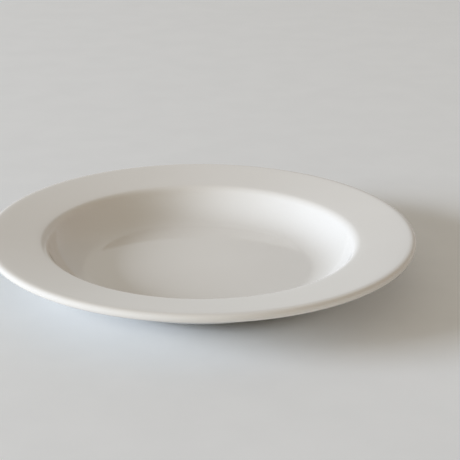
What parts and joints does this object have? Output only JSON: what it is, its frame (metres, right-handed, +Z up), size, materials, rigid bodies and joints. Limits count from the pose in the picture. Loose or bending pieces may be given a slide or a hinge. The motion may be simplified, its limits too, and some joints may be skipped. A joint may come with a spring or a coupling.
{
  "type": "dinette plate",
  "caption": "Round ceramic plate with a wide, gently rising rim and a dished well for food, glazed white all over except the bare bearing face of its foot ring.",
  "frame": {"origin": "centre of the foot ring's bearing face, on the table under the middle of the plate", "axes": "+Z up along the plate's axis of turning, +X to the right and +Y away from the viewer in the picture's view"},
  "size_m": [0.193, 0.193, 0.0239],
  "materials": {
    "bare_clay": "matte",
    "white_glaze": "gloss"
  },
  "bodies": {
    "root": {"clay_body": "bare_clay", "face_glaze": "white_glaze", "foot_recess_glaze": "white_glaze"}
  },
  "joints": []
}
